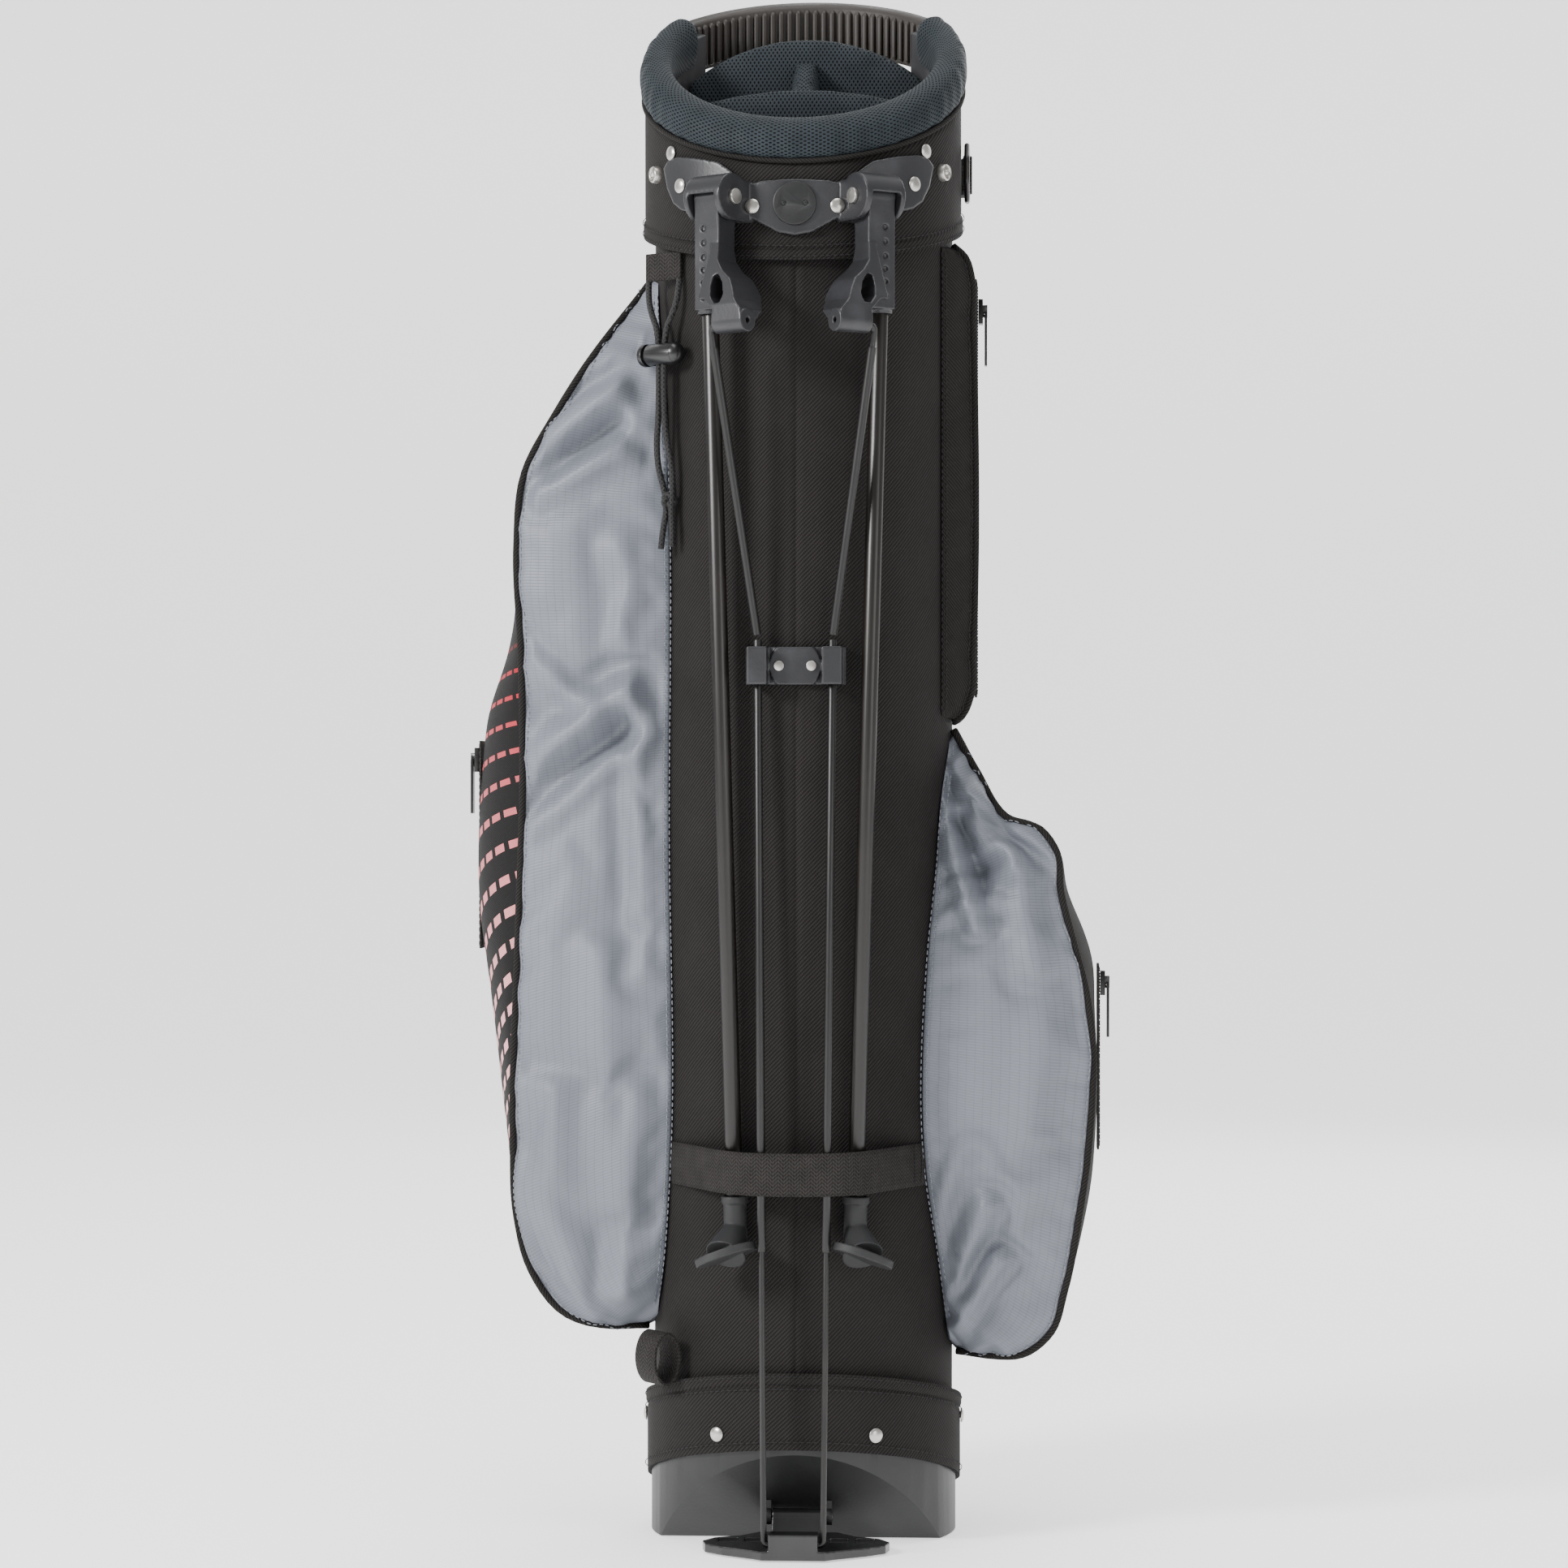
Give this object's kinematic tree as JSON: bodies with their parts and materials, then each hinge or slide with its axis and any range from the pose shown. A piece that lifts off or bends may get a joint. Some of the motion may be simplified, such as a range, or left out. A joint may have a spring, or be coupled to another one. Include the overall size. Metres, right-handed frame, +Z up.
{
  "type": "golf stand bag",
  "caption": "Upright golf club carry bag with a padded divided mouth, side pockets, and spring-out legs driven by a tilting foot plate under its base",
  "frame": {"origin": "centre of the bag's round base, on the ground", "axes": "+Z up along the bag, legs on the -Y side, +X to the right when facing the legs"},
  "size_m": [0.3694, 0.2601, 0.891],
  "materials": {
    "body_nylon": "black twill nylon",
    "pocket_ripstop": "pale blue-grey ripstop",
    "mesh": "blue-black air mesh",
    "lining": "thin black lining",
    "webbing": "black herringbone webbing",
    "cord": "braided black cord",
    "zip_coil": "nylon coil on woven tape",
    "foam": "dark grey foam",
    "moulded_black": "satin moulded nylon",
    "base_plastic": "grained grey-black moulding",
    "badge_plastic": "blank satin disc",
    "grip_plastic": "brown-black ribbed grip",
    "sleeve_plastic": "satin sleeve",
    "lock_plastic": "polished black",
    "plate_gloss": "gloss black moulding",
    "leg_paint": "dark brown-black gloss coating",
    "rod_steel": "black oxide wire",
    "nickel": "satin nickel",
    "rubber": "matte dark rubber"
  },
  "bodies": {
    "bag": {"body_tube": "body_nylon", "base_cup": "base_plastic", "base_band": "body_nylon", "floor_pad": "foam", "stay_rods": "rod_steel", "foot_hinge_pin": "rod_steel", "cuff_ring": "moulded_black", "collar_cover": "body_nylon", "hood_snaps": "nickel", "rim_pad": "mesh", "top_handle": "grip_plastic", "front_divider": "mesh", "back_divider": "mesh", "spine_divider": "mesh", "divider_panels": "lining", "leg_bracket": "moulded_black", "rivets": "nickel", "badge_disc": "badge_plastic", "badge_screws": "nickel", "hinge_pins": "rod_steel", "guide_clip": "moulded_black", "clip_screws": "rod_steel", "leg_strap": "webbing", "left_pocket": "pocket_ripstop", "ball_pocket": "pocket_ripstop", "side_pocket": "body_nylon", "zip_tapes": "zip_coil", "left_strand": "cord", "right_strand": "cord", "cord_knot": "cord", "cord_tab": "webbing", "ring_tab": "webbing", "shoulder_pad": "mesh", "upper_strap": "webbing", "lower_strap": "webbing", "strap_buckle": "moulded_black", "base_loop": "webbing"},
    "left_leg": {"left_knuckle": "moulded_black", "left_leg_tube": "leg_paint", "left_foot": "rubber"},
    "right_leg": {"right_knuckle": "moulded_black", "right_leg_tube": "leg_paint", "right_foot": "rubber"},
    "foot_plate": {"foot_plate": "plate_gloss"},
    "left_rod": {"left_rod": "rod_steel", "left_rod_sleeve": "sleeve_plastic"},
    "right_rod": {"right_rod": "rod_steel", "right_rod_sleeve": "sleeve_plastic"},
    "left_rod_top": {"left_rod_top": "rod_steel"},
    "right_rod_top": {"right_rod_top": "rod_steel"},
    "cord_lock": {"lock_barrel": "lock_plastic", "lock_spring": "nickel"},
    "lock_button": {"lock_button": "lock_plastic"},
    "towel_ring": {"towel_ring": "nickel"},
    "left_slider": {"left_slider": "nickel"},
    "left_pull": {"left_pull": "nickel"},
    "ball_slider": {"ball_slider": "nickel"},
    "ball_pull": {"ball_pull": "nickel"},
    "side_slider": {"side_slider": "nickel"},
    "side_pull": {"side_pull": "nickel"}
  },
  "joints": [
    {"name": "left_leg_swing", "type": "hinge", "parent": "bag", "child": "left_leg", "pos_m": [-0.0438, -0.0937, 0.748], "axis": [-0.8, 0.6, 0], "range_deg": [0, 34], "deforming": ["leg_strap"]},
    {"name": "right_leg_swing", "type": "hinge", "parent": "bag", "child": "right_leg", "pos_m": [0.0438, -0.0937, 0.748], "axis": [-0.8, -0.6, 0], "range_deg": [0, 34]},
    {"name": "foot_plate_tilt", "type": "hinge", "parent": "bag", "child": "foot_plate", "pos_m": [0, -0.058, 0.0155], "axis": [-1, 0, 0], "range_deg": [0, 38]},
    {"name": "left_rod_pivot", "type": "hinge", "parent": "foot_plate", "child": "left_rod", "pos_m": [-0.0163, -0.107, 0.008], "axis": [1, 0, 0], "range_deg": [0, 38.54]},
    {"name": "right_rod_pivot", "type": "hinge", "parent": "foot_plate", "child": "right_rod", "pos_m": [0.0163, -0.107, 0.008], "axis": [1, 0, 0], "range_deg": [0, 38.54]},
    {"name": "left_rod_flex", "type": "hinge", "parent": "left_rod", "child": "left_rod_top", "pos_m": [-0.0208, -0.091, 0.506], "axis": [0.8, -0.6, 0], "range_deg": [0, 12.45]},
    {"name": "right_rod_flex", "type": "hinge", "parent": "right_rod", "child": "right_rod_top", "pos_m": [0.0208, -0.091, 0.506], "axis": [0.8, 0.6, 0], "range_deg": [0, 12.45]},
    {"name": "cord_lock_slide", "type": "slide", "parent": "bag", "child": "cord_lock", "axis": [0, 0, -1], "range_m": [0, 0.022]},
    {"name": "lock_button_press", "type": "slide", "parent": "cord_lock", "child": "lock_button", "axis": [0.7507, -0.6606, 0], "range_m": [0, 0.0022], "stiffness_N_per_m": 250},
    {"name": "towel_ring_swing", "type": "hinge", "parent": "bag", "child": "towel_ring", "pos_m": [0.0936, 0.014, 0.7755], "axis": [0, 0, 1], "range_deg": [0, 120]},
    {"name": "left_zip_slide", "type": "slide", "parent": "bag", "child": "left_slider", "axis": [0, 0, 1], "range_m": [-0.098, 0]},
    {"name": "left_pull_swing", "type": "hinge", "parent": "left_slider", "child": "left_pull", "pos_m": [-0.1931, 0.019, 0.438], "axis": [0, 1, 0], "range_deg": [0, 115]},
    {"name": "ball_zip_slide", "type": "slide", "parent": "bag", "child": "ball_slider", "axis": [0, 0, 1], "range_m": [-0.084, 0]},
    {"name": "ball_pull_swing", "type": "hinge", "parent": "ball_slider", "child": "ball_pull", "pos_m": [0.1741, 0.012, 0.31], "axis": [0, -1, 0], "range_deg": [0, 115]},
    {"name": "side_zip_slide", "type": "slide", "parent": "bag", "child": "side_slider", "axis": [0, 0, 1], "range_m": [-0.2, 0]},
    {"name": "side_pull_swing", "type": "hinge", "parent": "side_slider", "child": "side_pull", "pos_m": [0.1041, 0.019, 0.696], "axis": [0, -1, 0], "range_deg": [0, 115]}
  ],
  "couplings": [
    {"joint": "right_leg_swing", "follows": "left_leg_swing", "ratio": 1},
    {"joint": "foot_plate_tilt", "follows": "left_leg_swing", "ratio": 1.1176},
    {"joint": "left_rod_pivot", "follows": "left_leg_swing", "ratio": 1.1335},
    {"joint": "right_rod_pivot", "follows": "left_leg_swing", "ratio": 1.1335},
    {"joint": "left_rod_flex", "follows": "left_leg_swing", "ratio": 0.36606},
    {"joint": "right_rod_flex", "follows": "left_leg_swing", "ratio": 0.36606}
  ]
}
